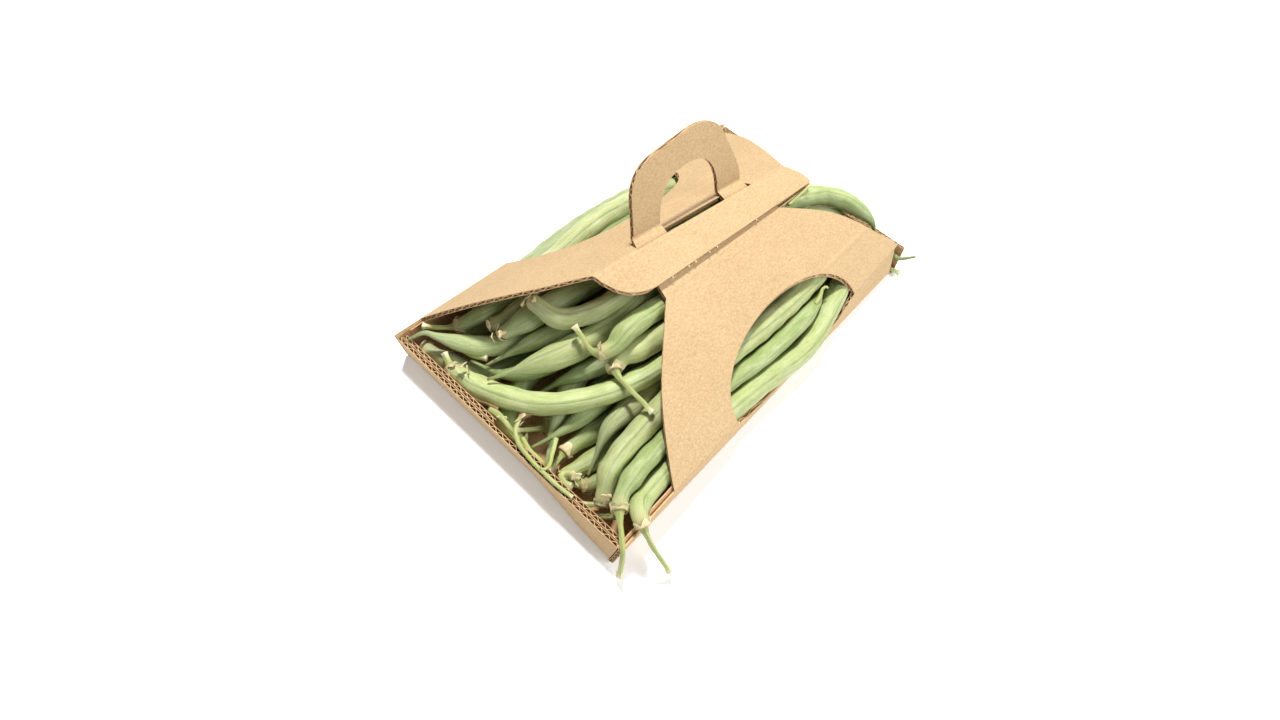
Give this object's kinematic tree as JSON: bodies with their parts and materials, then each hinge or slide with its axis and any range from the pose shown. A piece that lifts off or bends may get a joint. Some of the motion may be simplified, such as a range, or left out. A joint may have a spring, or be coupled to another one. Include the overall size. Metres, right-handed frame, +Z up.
{
  "type": "green bean bundle",
  "caption": "Fresh green beans held in a small folded corrugated carton with sloping covers, oval side windows, open ends and an upright arched carrying handle.",
  "frame": {"origin": "middle of the carton's underside, on the surface it stands on", "axes": "+Z up; +X along the carton's length from the front mouth to the rear mouth; +Y towards its left side"},
  "size_m": [0.1996, 0.1274, 0.081],
  "materials": {
    "board": "unbleached kraft corrugated board, matte",
    "bean": "fresh pod skin, satin green with pale stalks"
  },
  "bodies": {
    "root": {"front_end_wall": "board", "front_left_flap": "board", "front_right_flap": "board", "handle": "board", "handle_band": "board", "left_cover": "board", "left_side_wall": "board", "lock_strip": "board", "rear_end_wall": "board", "rear_left_flap": "board", "rear_right_flap": "board", "right_cover": "board", "right_side_wall": "board", "tray_bottom": "board", "bean_01": "bean", "bean_02": "bean", "bean_03": "bean", "bean_04": "bean", "bean_05": "bean", "bean_06": "bean", "bean_07": "bean", "bean_08": "bean", "bean_09": "bean", "bean_10": "bean", "bean_11": "bean", "bean_12": "bean", "bean_13": "bean", "bean_14": "bean", "bean_15": "bean", "bean_16": "bean", "bean_17": "bean", "bean_18": "bean", "bean_19": "bean", "bean_20": "bean", "bean_21": "bean", "bean_22": "bean", "bean_23": "bean", "bean_24": "bean", "bean_25": "bean", "bean_26": "bean", "bean_27": "bean", "bean_28": "bean", "bean_29": "bean", "bean_30": "bean", "bean_31": "bean", "bean_32": "bean", "bean_33": "bean", "bean_34": "bean", "bean_35": "bean", "bean_36": "bean", "bean_37": "bean", "bean_38": "bean", "bean_39": "bean", "bean_40": "bean", "bean_41": "bean", "bean_42": "bean", "bean_43": "bean", "bean_44": "bean", "bean_45": "bean"}
  },
  "joints": []
}
